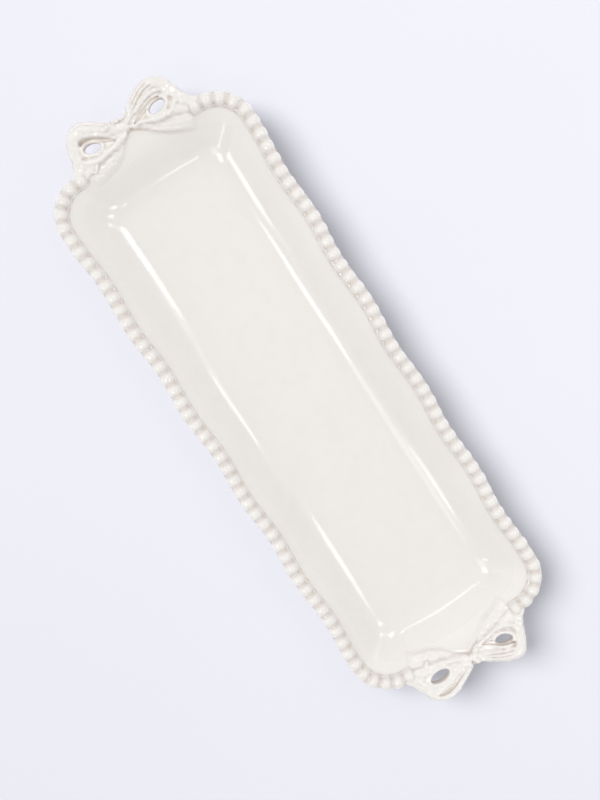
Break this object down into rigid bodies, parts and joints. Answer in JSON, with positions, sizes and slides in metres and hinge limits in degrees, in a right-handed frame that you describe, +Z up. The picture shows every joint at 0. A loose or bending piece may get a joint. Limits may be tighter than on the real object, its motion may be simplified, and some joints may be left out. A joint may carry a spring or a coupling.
{
  "type": "asparagus plate",
  "caption": "Long shallow serving dish with gently waved sides, a rim of pearl beads and a pierced ribbon bow at each end.",
  "frame": {"origin": "middle of the base, on the plane of the foot ring's underside", "axes": "+Z up, +Y along the plate towards the north bow, +X across it to the east side"},
  "size_m": [0.1372, 0.4196, 0.0331],
  "materials": {
    "ivory_glaze": "gloss glaze, warm ivory",
    "bare_clay": "matte, unglazed"
  },
  "bodies": {
    "root": {"dish_body": "ivory_glaze", "foot_ring": "bare_clay", "bead_strip_east": "ivory_glaze", "bead_strip_west": "ivory_glaze", "north_knot": "ivory_glaze", "north_loop_east": "ivory_glaze", "north_loop_west": "ivory_glaze", "north_tail_east": "ivory_glaze", "north_tail_west": "ivory_glaze", "south_knot": "ivory_glaze", "south_loop_east": "ivory_glaze", "south_loop_west": "ivory_glaze", "south_tail_east": "ivory_glaze", "south_tail_west": "ivory_glaze"}
  },
  "joints": []
}
